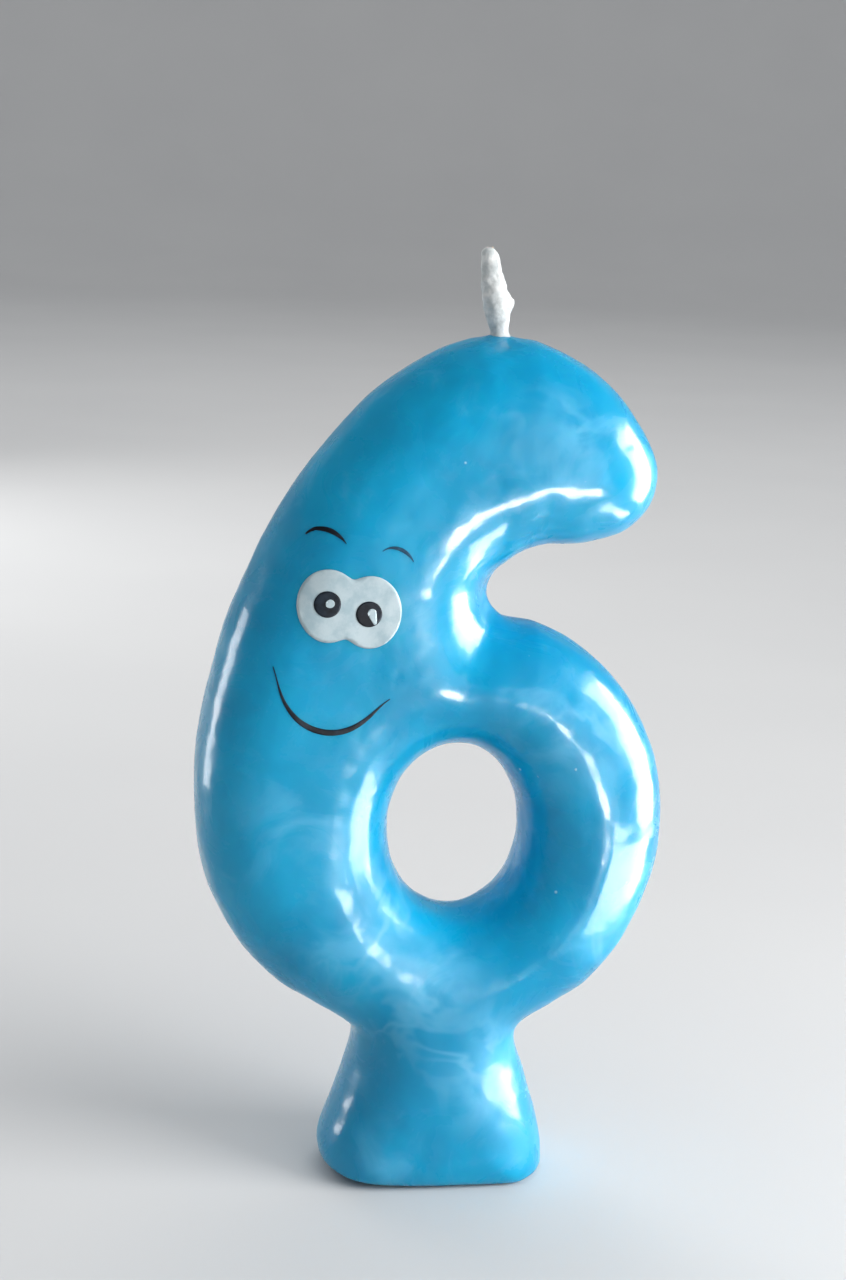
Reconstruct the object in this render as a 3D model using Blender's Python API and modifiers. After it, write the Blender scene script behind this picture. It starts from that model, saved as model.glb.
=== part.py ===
"""A numeral birthday candle: a puffed wax 6 on a flared foot, with a braided wick and a printed smiling face.

The numeral stands upright in the XZ plane and faces -Y. The origin is the middle of the foot's flat base,
and +Z runs up to the wick. Left and right are the viewer's, looking at the face.
"""

import math

import bmesh
import bpy
import numpy as np
from mathutils import Matrix, Vector
from mathutils.geometry import delaunay_2d_cdt

MM = 0.001
DEPTH_WISE = Vector((0.0, 1.0, 0.0))

# Driving dimensions of the wax body.
BODY_THICKNESS = 15.0 * MM
EDGE_ROUND = 7.5 * MM  # how far in from the outline the puffed edge reaches full thickness
EDGE_FULLNESS = 2.3  # 2 is an elliptical edge, and more is squarer
OUTLINE_SPACING = 1.4 * MM
HOLE_SPACING = 1.2 * MM
LATTICE_SPACING = 2.3 * MM

# Knots of the numeral's outline, clockwise from the crown, as (x, z) in millimetres.
HOOK_KNOTS = [
    (3.35, 76.5),
    (11.3, 74.15),
    (16.5, 68.75),
    (17.95, 64.35),
    (16.05, 60.4),
    (11.45, 58.55),
    (6.85, 58.1),
    (4.0, 55.8),
    (3.5, 53.65),
    (5.0, 51.85),
]
BOWL_RIGHT_KNOTS = [
    (8.05, 51.25),
    (14.1, 47.45),
    (18.5, 41.2),
    (20.05, 33.25),
    (18.5, 25.5),
    (14.15, 18.45),
    (10.9, 16.15),
    (8.8, 14.85),
    (7.6, 13.85),
]
FOOT_KNOTS = [
    (7.5, 12.8),
    (8.6, 9.2),
    (10.0, 4.4),
    (10.45, 2.0),
    (10.35, 0.0),
    (9.5, -2.0),
    (5.0, -2.8),
    (-5.0, -2.8),
    (-8.9, -1.4),
    (-10.2, 0.9),
    (-10.3, 3.1),
    (-9.6, 5.3),
    (-8.3, 9.3),
    (-7.55, 12.8),
]
BOWL_LEFT_KNOTS = [
    (-7.8, 13.95),
    (-8.9, 14.9),
    (-11.6, 16.6),
    (-15.2, 18.95),
    (-20.15, 25.65),
    (-22.2, 34.75),
    (-20.95, 46.7),
    (-17.6, 56.55),
    (-11.6, 66.65),
    (-4.3, 73.75),
]
HOLE_CENTRE = (1.1, 32.6)
HOLE_HALF = (6.0, 7.85)
HOLE_LEAN = math.radians(5.0)

# The crease that runs down from the notch, between the stem and the top of the bowl, as (x, z) in millimetres.
CREASE_LINE = [(3.6, 54.2), (3.3, 52.2), (2.2, 49.9), (0.6, 47.2), (-1.2, 44.8)]
CREASE_DEPTH = 2.3 * MM
CREASE_SHARE = 0.6  # the crease takes at most this share of the wax's height
STEM_REACH = 2.8 * MM  # how wide the crease's wall is on the stem's side
BOWL_REACH = 1.2 * MM
CREASE_SOFTNESS = 0.5 * MM
CREASE_SPACING = 1.0 * MM
CREASE_ROWS = [-4.2, -3.0, -2.0, -1.1, -0.4, 0.4, 1.2, 2.2]  # across the crease, in millimetres

# The wick is a flat three-strand braid: one run buried in the wax, and one that stands out of the crown.
WICK_BURIED_END = Vector((-3.0, 0.0, 48.25)) * MM
WICK_BEND = Vector((3.9, 0.0, 74.75)) * MM
WICK_TIP = Vector((2.3, 0.0, 84.15)) * MM
STRAND_RADIUS = 0.165 * MM
BRAID_HALF_WIDTH = 0.38 * MM
BRAID_HALF_DEPTH = 0.26 * MM
BRAID_PITCH = 4.5 * MM
BRAID_STEPS_PER_PITCH = 10
WICK_BORE_RADIUS = 0.64 * MM
WICK_END_ROOM = 0.5 * MM  # the bore runs this far past the wick's buried end

# The wax coat on the standing wick, from its top down, as (radius, z at the wick's centre) in millimetres.
COAT_PROFILE = [
    (0.74, 83.6),
    (0.82, 82.95),
    (0.90, 81.95),
    (1.08, 80.95),
    (1.20, 79.85),
    (1.14, 78.75),
    (0.92, 77.75),
    (0.80, 76.9),
]
DRIP_RADIUS = 0.78 * MM
DRIP_CENTRE = Vector((4.05, -0.1, 79.4)) * MM

# The printed face, as (x, z) in millimetres.
EYE_HALF = (2.72, 3.2)
LEFT_EYE = (-11.45, 54.15)
RIGHT_EYE = (-7.95, 53.65)
LEFT_PUPIL = (-11.57, 54.31)
RIGHT_PUPIL = (-8.05, 53.5)
PUPIL_RADIUS = 1.17
GLINT_RADIUS = 0.4
LEFT_GLINT = (-11.35, 54.4)
RIGHT_GLINT = (-7.78, 53.6)
RIGHT_GLINT_TAIL = (-7.56, 52.78)  # the print of this glint has run down towards the pupil's edge
TAIL_RADIUS = 0.2
LEFT_BROW = [(-13.35, 60.0), (-12.25, 60.6), (-11.0, 60.35), (-10.05, 59.45)]
RIGHT_BROW = [(-7.1, 58.9), (-6.1, 59.25), (-5.05, 58.85), (-4.35, 58.0)]
LEFT_BROW_WIDTH = 0.42
RIGHT_BROW_WIDTH = 0.32
SMILE = [(-16.05, 48.85), (-15.2, 46.1), (-13.4, 43.85), (-10.7, 43.1), (-8.1, 44.2), (-5.95, 46.1)]
SMILE_WIDTH = 0.52

# Each print lies this far above the wax, and is this thick. A later colour lies on an earlier one.
PRINT_GAP = 0.08 * MM
PRINT_THICKNESS = 0.12 * MM
PRINT_STEP = PRINT_GAP + PRINT_THICKNESS


def clear_scene():
    for obj in list(bpy.data.objects):
        bpy.data.objects.remove(obj)


def new_collection(name):
    collection = bpy.data.collections.new(name)
    bpy.context.scene.collection.children.link(collection)
    return collection


def new_material(name, colour, roughness):
    material = bpy.data.materials.new(name)
    material.use_nodes = True
    shader = material.node_tree.nodes["Principled BSDF"]
    shader.inputs["Base Color"].default_value = (*colour, 1.0)
    shader.inputs["Roughness"].default_value = roughness
    shader.inputs["Metallic"].default_value = 0.0
    return material


def add_object(name, data, collection, material=None):
    obj = bpy.data.objects.new(name, data)
    collection.objects.link(obj)
    if material:
        data.materials.append(material)
    return obj


def as_guide(obj):
    """A guide or a cutter shapes other pieces, and isn't part of the candle itself."""
    obj.hide_render = True
    obj.display_type = "WIRE"
    return obj


def smooth_loop(name, knots, guides, resolution=5):
    """Points along a closed smooth curve through the knots, as an array of (x, z)."""
    data = bpy.data.curves.new(name, "CURVE")
    data.dimensions = "3D"
    data.resolution_u = resolution
    spline = data.splines.new("BEZIER")
    spline.bezier_points.add(len(knots) - 1)
    for point, (x, z) in zip(spline.bezier_points, knots):
        point.co = (x, 0.0, z)
        point.handle_left_type = point.handle_right_type = "AUTO"
    spline.use_cyclic_u = True
    guide = as_guide(add_object(name, data, guides))
    bpy.context.view_layer.update()
    mesh = guide.to_mesh()
    points = np.array([(v.co.x, v.co.z) for v in mesh.vertices])
    guide.to_mesh_clear()
    return points


def oval_loop(centre, half, count):
    angles = np.arange(count) * math.tau / count
    return np.array(centre) + np.array(half) * np.stack([np.cos(angles), np.sin(angles)], axis=1)


def resampled(loop, spacing):
    """The closed loop again, with its points an even distance apart."""
    ends = np.roll(loop, -1, axis=0)
    lengths = np.linalg.norm(ends - loop, axis=1)
    stations = np.concatenate([[0.0], np.cumsum(lengths)])
    count = max(8, round(stations[-1] / spacing))
    wanted = np.arange(count) * stations[-1] / count
    closed = np.vstack([loop, loop[:1]])
    return np.stack([np.interp(wanted, stations, closed[:, axis]) for axis in (0, 1)], axis=1)


def distance_to(points, loops):
    """Each point's distance to the nearest stretch of the loops."""
    nearest = np.full(len(points), np.inf)
    for loop in loops:
        for start, end in zip(loop, np.roll(loop, -1, axis=0)):
            run = end - start
            along = np.clip((points - start) @ run / (run @ run), 0.0, 1.0)
            gap = np.linalg.norm(points - start - along[:, None] * run, axis=1)
            nearest = np.minimum(nearest, gap)
    return nearest


def inside(points, loops):
    """True for each point with an odd number of loop crossings on its right."""
    odd = np.zeros(len(points), bool)
    for loop in loops:
        for (x0, z0), (x1, z1) in zip(loop, np.roll(loop, -1, axis=0)):
            spans = (z0 > points[:, 1]) != (z1 > points[:, 1])
            if not spans.any():
                continue
            crossing = x0 + (points[:, 1] - z0) * (x1 - x0) / (z1 - z0)
            odd ^= spans & (points[:, 0] < crossing)
    return odd


def inset_points(loops, depth):
    """Points the given depth inside the loops, left out where they come nearer another stretch."""
    found = []
    for loop in loops:
        along = np.roll(loop, -1, axis=0) - np.roll(loop, 1, axis=0)
        along /= np.linalg.norm(along, axis=1)[:, None]
        for side in (1.0, -1.0):
            found.append(loop + depth * side * np.stack([-along[:, 1], along[:, 0]], axis=1))
    points = np.vstack(found)
    clear = distance_to(points, loops) > 0.98 * depth
    return points[clear & inside(points, loops)]


def lattice_points(loops, margin, spacing):
    """A triangular lattice that fills the loops, from the margin inwards."""
    low = loops[0].min(axis=0)
    high = loops[0].max(axis=0)
    rows = []
    for index, z in enumerate(np.arange(low[1], high[1], spacing * math.sqrt(0.75))):
        x = np.arange(low[0] + spacing * 0.5 * (index % 2), high[0], spacing)
        rows.append(np.stack([x, np.full(len(x), z)], axis=1))
    points = np.vstack(rows)
    return points[inside(points, loops) & (distance_to(points, loops) > margin)]


def thinned(points, spacing):
    """The points in order, without any that crowds one already kept."""
    kept = np.empty((0, 2))
    for point in points:
        if not len(kept) or np.min(np.linalg.norm(kept - point, axis=1)) > spacing:
            kept = np.vstack([kept, point])
    return kept


def sheet_mesh(name, loops, inner_points, height):
    """A triangulated sheet inside the loops that faces -Y and stands height(points) proud of the XZ plane."""
    edges = []
    start = 0
    for loop in loops:
        edges += [(start + i, start + (i + 1) % len(loop)) for i in range(len(loop))]
        start += len(loop)
    flat = np.vstack([*loops, inner_points])
    points, _, triangles, *_ = delaunay_2d_cdt([Vector(p) for p in flat], edges, [], 1, 1e-8)
    points = np.array([tuple(p) for p in points])
    triangles = np.array(triangles)
    triangles = triangles[inside(points[triangles].mean(axis=1), loops)]
    proud = height(points)
    mesh = bpy.data.meshes.new(name)
    mesh.from_pydata(
        [(x, -y, z) for (x, z), y in zip(points, proud)],
        [],
        triangles.tolist(),
    )
    return mesh


def numeral_loops(guides):
    """The outline of the 6 and of its hole."""
    knots = HOOK_KNOTS + BOWL_RIGHT_KNOTS + FOOT_KNOTS + BOWL_LEFT_KNOTS
    outline = smooth_loop("numeral_outline", knots, guides)
    turn = Matrix.Rotation(HOLE_LEAN, 2)
    hole_knots = [Vector(HOLE_CENTRE) + turn @ Vector(p) for p in oval_loop((0, 0), HOLE_HALF, 12)]
    hole = smooth_loop("hole_outline", hole_knots, guides)
    return [resampled(outline * MM, OUTLINE_SPACING), resampled(hole * MM, HOLE_SPACING)]


def puffed_height(depth):
    """Half the wax's thickness at a depth inside the outline, and exactly none on the outline."""
    share = 1.0 - np.clip(depth / EDGE_ROUND, 0.0, 1.0)
    share[depth < 0.01 * MM] = 1.0
    return BODY_THICKNESS / 2 * (1.0 - share**EDGE_FULLNESS) ** (1.0 / EDGE_FULLNESS)


def crease_depth(points):
    """How far the crease sinks the wax: deepest at the notch, and wider towards the stem."""
    line = np.array(CREASE_LINE) * MM
    nearest = np.full(len(points), np.inf)
    run_share = np.zeros(len(points))
    bowl_side = np.zeros(len(points))
    for index, (start, end) in enumerate(zip(line[:-1], line[1:])):
        run = end - start
        share = np.clip((points - start) @ run / (run @ run), 0.0, 1.0)
        offset = points - start - share[:, None] * run
        gap = np.linalg.norm(offset, axis=1)
        closer = gap < nearest
        nearest[closer] = gap[closer]
        run_share[closer] = (index + share[closer]) / (len(line) - 1)
        across = (run[0] * offset[:, 1] - run[1] * offset[:, 0]) / np.linalg.norm(run)
        bowl_side[closer] = across[closer]
    lean = np.clip(0.5 + bowl_side / (2.0 * CREASE_SOFTNESS), 0.0, 1.0)
    reach = STEM_REACH * (1.0 - lean) + BOWL_REACH * lean
    soft = np.hypot(nearest, CREASE_SOFTNESS) - CREASE_SOFTNESS
    fade = 0.5 + 0.5 * np.cos(math.pi * run_share)
    return CREASE_DEPTH * fade * np.exp(-((soft / reach) ** 1.2))


def crease_points(loops):
    """Rows of points along the crease, so that the mesh follows its walls."""
    line = np.array(CREASE_LINE) * MM
    stations = np.concatenate([[0.0], np.cumsum(np.linalg.norm(np.diff(line, axis=0), axis=1))])
    wanted = np.arange(0.0, stations[-1], CREASE_SPACING)
    line = np.stack([np.interp(wanted, stations, line[:, axis]) for axis in (0, 1)], axis=1)
    along = np.gradient(line, axis=0)
    along /= np.linalg.norm(along, axis=1)[:, None]
    across = np.stack([-along[:, 1], along[:, 0]], axis=1)
    points = np.vstack([line + across * offset * MM for offset in CREASE_ROWS])
    return points[inside(points, loops) & (distance_to(points, loops) > 0.4 * MM)]


def numeral_height(points, loops):
    """Half the wax's thickness at each point of the XZ plane."""
    height = puffed_height(distance_to(points, loops))
    return height - np.minimum(crease_depth(points), CREASE_SHARE * height)


def relax_front(mesh, loops, rounds=6):
    """Eases the ridge that the two edge rounds leave along the middle of a narrow stroke."""
    work = bmesh.new()
    work.from_mesh(mesh)
    flat = np.array([(v.co.x, v.co.z) for v in work.verts])
    deep = distance_to(flat, loops) > 0.45 * EDGE_ROUND
    middle = [v for v, is_deep in zip(work.verts, deep) if is_deep]
    for _ in range(rounds):
        bmesh.ops.smooth_vert(work, verts=middle, factor=0.5, use_axis_y=True)
    work.to_mesh(mesh)
    work.free()


def make_body(parts, guides, wax):
    """The cast wax: a front half, mirrored to the back, cut flat at the base and bored for the wick."""
    loops = numeral_loops(guides)
    turns = [math.radians(angle) for angle in range(13, 79, 13)]
    insets = [inset_points(loops, EDGE_ROUND * (1.0 - math.cos(turn))) for turn in turns]
    lattice = lattice_points(loops, 0.8 * EDGE_ROUND, LATTICE_SPACING)
    inner = thinned(np.vstack([crease_points(loops), *insets, lattice]), 0.4 * MM)
    mesh = sheet_mesh("wax_body", loops, inner, lambda points: numeral_height(points, loops))
    relax_front(mesh, loops)
    body = add_object("wax_body", mesh, parts, wax)
    mirror = body.modifiers.new("back half", "MIRROR")
    mirror.use_axis = (False, True, False)
    mirror.merge_threshold = 0.01 * MM
    for cutter in (base_cutter(guides), wick_bore_cutter(guides)):
        cut = body.modifiers.new(cutter.name, "BOOLEAN")
        cut.operation = "DIFFERENCE"
        cut.object = cutter
    mesh.shade_smooth()
    return body


def base_cutter(guides):
    """A block under the base plane that trims the foot flat."""
    half = Vector((20.0, 15.0, 8.0)) * MM
    work = bmesh.new()
    bmesh.ops.create_cube(work, size=2.0)
    bmesh.ops.scale(work, vec=half, verts=work.verts)
    mesh = bpy.data.meshes.new("base_cutter")
    work.to_mesh(mesh)
    work.free()
    cutter = as_guide(add_object("base_cutter", mesh, guides))
    cutter.location.z = -half.z
    return cutter


def tube_curve(name, stops, radius, bevel_resolution):
    """A round rod with closed ends along straight runs between the stops."""
    data = bpy.data.curves.new(name, "CURVE")
    data.dimensions = "3D"
    data.bevel_depth = radius
    data.bevel_resolution = bevel_resolution
    data.use_fill_caps = True
    spline = data.splines.new("POLY")
    spline.points.add(len(stops) - 1)
    for point, stop in zip(spline.points, stops):
        point.co = (*stop, 1.0)
    return data


def rod_cutter(name, stops, radius, guides):
    """A rod as a mesh, for a Boolean to cut with."""
    rod = add_object(f"{name}_path", tube_curve(name, stops, radius, 5), guides)
    bpy.context.view_layer.update()
    graph = bpy.context.evaluated_depsgraph_get()
    mesh = bpy.data.meshes.new_from_object(rod.evaluated_get(graph))
    work = bmesh.new()
    work.from_mesh(mesh)
    bmesh.ops.remove_doubles(work, verts=work.verts, dist=0.01 * MM)
    bmesh.ops.recalc_face_normals(work, faces=work.faces)
    work.to_mesh(mesh)
    work.free()
    cutter = as_guide(add_object(name, mesh, guides))
    cutter.matrix_world = rod.matrix_world
    bpy.data.objects.remove(rod)
    return cutter


def wick_bore_cutter(guides):
    """The channel that the wick leaves in the wax. It runs out past the crown."""
    buried = (WICK_BEND - WICK_BURIED_END).normalized()
    below = WICK_BURIED_END - buried * WICK_END_ROOM
    return rod_cutter("wick_bore_cutter", [below, WICK_BEND, WICK_TIP], WICK_BORE_RADIUS, guides)


def wick_point(run):
    """The wick's centre at a length from its buried end, with the direction across it."""
    buried = WICK_BEND - WICK_BURIED_END
    if run < buried.length:
        return WICK_BURIED_END + buried.normalized() * run, buried.normalized()
    standing = (WICK_TIP - WICK_BEND).normalized()
    return WICK_BEND + standing * (run - buried.length), standing


def make_strand(index, parts, cotton):
    """One of the three cotton strands, each a third of a pitch behind the last."""
    length = (WICK_BEND - WICK_BURIED_END).length + (WICK_TIP - WICK_BEND).length
    steps = round(length / BRAID_PITCH * BRAID_STEPS_PER_PITCH)
    stops = []
    for run in np.linspace(0.0, length, steps + 1):
        centre, along = wick_point(run)
        across = along.cross(DEPTH_WISE).normalized()
        phase = math.tau * (run / BRAID_PITCH + index / 3)
        offset = across * BRAID_HALF_WIDTH * math.sin(phase)
        offset += DEPTH_WISE * BRAID_HALF_DEPTH * math.sin(2 * phase)
        stops.append(centre + offset)
    name = f"wick_strand_{index + 1}"
    return add_object(name, tube_curve(name, stops, STRAND_RADIUS, 1), parts, cotton)


def make_wick_coat(parts, guides, dip_wax):
    """The white wax that clings to the standing wick, with the drip that set on its right side."""
    standing = (WICK_TIP - WICK_BEND).normalized()
    profile = [(radius * MM, (z * MM - WICK_BEND.z) / standing.z) for radius, z in COAT_PROFILE]
    verts = [(0.0, 0.0, profile[0][1])]
    verts += [(radius, 0.0, height) for radius, height in profile]
    verts += [(0.0, 0.0, profile[-1][1])]
    mesh = bpy.data.meshes.new("wick_wax_coat")
    mesh.from_pydata(verts, [(i, i + 1) for i in range(len(verts) - 1)], [])
    coat = add_object("wick_wax_coat", mesh, parts, dip_wax)
    coat.location = WICK_BEND
    coat.rotation_mode = "QUATERNION"
    coat.rotation_quaternion = Vector((0, 0, 1)).rotation_difference(standing)
    screw = coat.modifiers.new("turned", "SCREW")
    screw.steps = screw.render_steps = 18
    screw.use_merge_vertices = True
    screw.merge_threshold = 0.01 * MM
    drip = as_guide(add_object("wax_drip", ball_mesh("wax_drip", DRIP_RADIUS), guides))
    drip.location = DRIP_CENTRE
    join = coat.modifiers.new("drip", "BOOLEAN")
    join.operation = "UNION"
    join.object = drip
    cut = coat.modifiers.new("wick bore", "BOOLEAN")
    cut.operation = "DIFFERENCE"
    cut.object = rod_cutter("coat_bore_cutter", [WICK_BEND, WICK_TIP], WICK_BORE_RADIUS, guides)
    return coat


def ball_mesh(name, radius):
    work = bmesh.new()
    bmesh.ops.create_uvsphere(work, u_segments=14, v_segments=9, radius=radius)
    mesh = bpy.data.meshes.new(name)
    work.to_mesh(mesh)
    work.free()
    return mesh


def twin_oval_loop(left, right, half, count):
    """The outer edge of two overlapping ovals, without the stretch of each that lies inside the other."""
    points = []
    for centre, other in ((left, right), (right, left)):
        oval = oval_loop(centre, half, count)
        points.append(oval[np.linalg.norm((oval - other) / half, axis=1) > 1.0])
    points = np.vstack(points)
    spokes = points - (np.array(left) + right) / 2
    return points[np.argsort(np.arctan2(spokes[:, 1], spokes[:, 0]))]


def drop_loop(head, head_radius, tail, tail_radius, count):
    """The outline drawn tight around two circles, as a drop that has run."""
    angles = np.arange(count) * math.tau / count
    spokes = np.stack([np.cos(angles), np.sin(angles)], axis=1)
    head_first = spokes @ head + head_radius > spokes @ tail + tail_radius
    return np.where(
        head_first[:, None],
        np.array(head) + head_radius * spokes,
        np.array(tail) + tail_radius * spokes,
    )


def brush_loop(stops, width, steps):
    """A brush stroke along a smooth path: fullest past its middle, and fine at both ends."""
    stops = np.array(stops)
    lengths = np.linalg.norm(np.diff(stops, axis=0), axis=1)
    stations = np.concatenate([[0.0], np.cumsum(lengths)])
    wanted = np.linspace(0.0, stations[-1], steps + 1)
    degree = len(stops) - 1
    path = np.stack(
        [np.polyval(np.polyfit(stations, stops[:, axis], degree), wanted) for axis in (0, 1)],
        axis=1,
    )
    along = np.gradient(path, axis=0)
    along /= np.linalg.norm(along, axis=1)[:, None]
    across = np.stack([-along[:, 1], along[:, 0]], axis=1)
    half = width / 2 * np.maximum(np.sin(math.pi * np.linspace(0.0, 1.0, steps + 1) ** 1.15), 0.18)
    return np.vstack([path + across * half[:, None], (path - across * half[:, None])[::-1]])


def make_print(name, loop, layer, parts, body, ink, spacing=None):
    """A thin film of ink that follows the wax. Its layer counts the films that lie under it."""
    loop = np.array(loop) * MM
    inner = lattice_points([loop], 0.5 * spacing * MM, spacing * MM) if spacing else np.empty((0, 2))
    mesh = sheet_mesh(name, [loop], inner, lambda points: np.full(len(points), BODY_THICKNESS))
    film = add_object(name, mesh, parts, ink)
    lay = film.modifiers.new("lie on the wax", "SHRINKWRAP")
    lay.target = body
    lay.wrap_method = "PROJECT"
    lay.use_project_y = True
    lay.use_positive_direction = True
    lay.use_negative_direction = False
    lay.wrap_mode = "ABOVE_SURFACE"
    lay.offset = PRINT_GAP + layer * PRINT_STEP
    thicken = film.modifiers.new("ink thickness", "SOLIDIFY")
    thicken.thickness = PRINT_THICKNESS
    thicken.offset = 1.0
    return film


def make_face(parts, body):
    """The printed face: joined eye whites, pupils with their glints, brows and a smile."""
    white_ink = new_material("white_ink", (0.72, 0.76, 0.78), 0.45)
    black_ink = new_material("black_ink", (0.012, 0.014, 0.02), 0.4)
    whites = twin_oval_loop(LEFT_EYE, RIGHT_EYE, EYE_HALF, 25)
    make_print("eye_whites", whites, 0, parts, body, white_ink, spacing=1.1)
    pupil_half = (PUPIL_RADIUS, PUPIL_RADIUS)
    make_print("left_pupil", oval_loop(LEFT_PUPIL, pupil_half, 15), 1, parts, body, black_ink, 0.8)
    make_print("right_pupil", oval_loop(RIGHT_PUPIL, pupil_half, 15), 1, parts, body, black_ink, 0.8)
    left_glint = oval_loop(LEFT_GLINT, (GLINT_RADIUS, GLINT_RADIUS), 10)
    make_print("left_pupil_glint", left_glint, 2, parts, body, white_ink)
    right_glint = drop_loop(RIGHT_GLINT, GLINT_RADIUS, RIGHT_GLINT_TAIL, TAIL_RADIUS, 14)
    make_print("right_pupil_glint", right_glint, 2, parts, body, white_ink)
    left_brow = brush_loop(LEFT_BROW, LEFT_BROW_WIDTH, 14)
    make_print("left_brow", left_brow, 0, parts, body, black_ink)
    right_brow = brush_loop(RIGHT_BROW, RIGHT_BROW_WIDTH, 14)
    make_print("right_brow", right_brow, 0, parts, body, black_ink)
    make_print("smile", brush_loop(SMILE, SMILE_WIDTH, 36), 0, parts, body, black_ink)


def main():
    clear_scene()
    parts = new_collection("numeral_candle")
    guides = new_collection("guides_and_cutters")
    blue_wax = new_material("blue_wax", (0.01, 0.26, 0.50), 0.3)
    dip_wax = new_material("white_dip_wax", (0.80, 0.82, 0.80), 0.4)
    cotton = new_material("cotton", (0.82, 0.81, 0.76), 0.9)
    body = make_body(parts, guides, blue_wax)
    make_face(parts, body)
    for index in range(3):
        make_strand(index, parts, cotton)
    make_wick_coat(parts, guides, dip_wax)


main()
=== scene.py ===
"""The look of a numeral birthday candle: glossy blue wax, a waxed braided wick and a printed face.

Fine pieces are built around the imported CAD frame. Lengths are in metres, and MM is a millimetre.
The numeral faces -Y and stands on z = 0. Left and right are the viewer's.
"""

import math

import bmesh
import bpy
import numpy as np
from mathutils import Matrix, Vector, noise
from mathutils.bvhtree import BVHTree
from mathutils.geometry import delaunay_2d_cdt
from mathutils.kdtree import KDTree


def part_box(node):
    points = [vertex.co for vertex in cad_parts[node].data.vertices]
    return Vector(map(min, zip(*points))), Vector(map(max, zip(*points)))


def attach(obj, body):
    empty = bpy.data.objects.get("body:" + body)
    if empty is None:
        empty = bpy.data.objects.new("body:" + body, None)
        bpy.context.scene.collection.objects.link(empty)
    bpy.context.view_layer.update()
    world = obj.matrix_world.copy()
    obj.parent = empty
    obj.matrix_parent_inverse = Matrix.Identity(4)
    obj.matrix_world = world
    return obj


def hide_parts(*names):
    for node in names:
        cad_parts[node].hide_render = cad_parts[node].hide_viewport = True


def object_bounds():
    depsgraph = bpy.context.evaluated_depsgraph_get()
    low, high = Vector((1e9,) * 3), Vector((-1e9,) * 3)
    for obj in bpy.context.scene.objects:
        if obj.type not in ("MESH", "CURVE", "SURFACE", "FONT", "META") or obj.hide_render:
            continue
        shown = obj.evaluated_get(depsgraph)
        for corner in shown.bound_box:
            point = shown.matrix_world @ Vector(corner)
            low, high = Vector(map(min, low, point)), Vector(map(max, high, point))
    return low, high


MM = 0.001
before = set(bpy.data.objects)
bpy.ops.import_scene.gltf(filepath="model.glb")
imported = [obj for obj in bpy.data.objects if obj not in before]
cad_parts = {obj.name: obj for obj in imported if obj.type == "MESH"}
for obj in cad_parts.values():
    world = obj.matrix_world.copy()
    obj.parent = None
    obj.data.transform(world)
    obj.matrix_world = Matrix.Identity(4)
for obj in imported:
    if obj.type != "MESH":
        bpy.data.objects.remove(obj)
CAD_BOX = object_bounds()
WAX_LOW, WAX_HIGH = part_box("wax_body")
COAT_LOW, COAT_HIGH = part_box("wick_wax_coat")
MIDDLE = (CAD_BOX[0] + CAD_BOX[1]) / 2
STRANDS = ("wick_strand_1", "wick_strand_2", "wick_strand_3")

# The wax body.
HALF_THICKNESS = min(WAX_HIGH.y, -WAX_LOW.y)
EDGE_ROUND = 7.5 * MM  # how far in from the outline the puffed edge reaches full thickness
EDGE_FULLNESS = 2.3  # 2 is an elliptical edge, and more is squarer
FINE_SPACING = 0.55 * MM
INSET_ANGLES = range(5, 80, 5)  # degrees around the puffed edge where points follow the outline
MERGE_GAP = 0.3 * FINE_SPACING
FLAT_GAP = 0.01 * MM  # a CAD point this near a plane lies on it
BORE_GAP = 1.0 * MM  # edges this near the wick belong to its bore
WAX_VOXEL = 0.32 * MM
SKIN_ROOM = 0.09 * MM  # the surface is set back by this, to leave room for its swells
SWELL_HEIGHT = 0.07 * MM
SWELL_SIZE = 8 * MM
WAVE_HEIGHT = 0.028 * MM
WAVE_SIZE = 3.6 * MM
RIPPLE_HEIGHT = 0.010 * MM
RIPPLE_SIZE = 1.5 * MM
SEAM_HEIGHT = 0.07 * MM
SEAM_WIDTH = 0.22 * MM
SEAM_PATCH = 5 * MM  # the size of the patches where the seam is stronger or weaker
BASE_EDGE_RADIUS = 0.9 * MM
BASE_LIFT = 0.6 * MM  # how far the base's left end stands off the table
LIFT_REACH = 10 * MM  # the lift grows over this width, and fades out over this height
LIFT_HEIGHT = 7 * MM
BASE_CALM = 3 * MM  # the swells fade out over this height, so that the base stays flat
DENT_COUNT = 40
DENT_RADIUS = (0.3, 0.9)  # mm
DENT_DEPTH = (0.02, 0.05)  # mm
CREASE_LINE = [(3.6, 54.2), (3.3, 52.2), (2.2, 49.9), (0.6, 47.2), (-1.2, 44.8)]  # x, z in mm
CREASE_DEPTH = 2.3 * MM
CREASE_SHARE = 0.6  # the crease takes at most this share of the wax's height
CREASE_REACH = (2.8 * MM, 1.2 * MM)  # how wide its walls are, towards the stem and the bowl
CREASE_SOFTNESS = 0.5 * MM
WICK_COLLAR = 0.35 * MM  # how far the wax creeps up around the wick
COLLAR_REACH = 1.3 * MM

# The prints.
PRINT_GAP = 0.015 * MM
PRINT_THICKNESS = 0.025 * MM
OUTLINE_PASSES = 12

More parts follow.
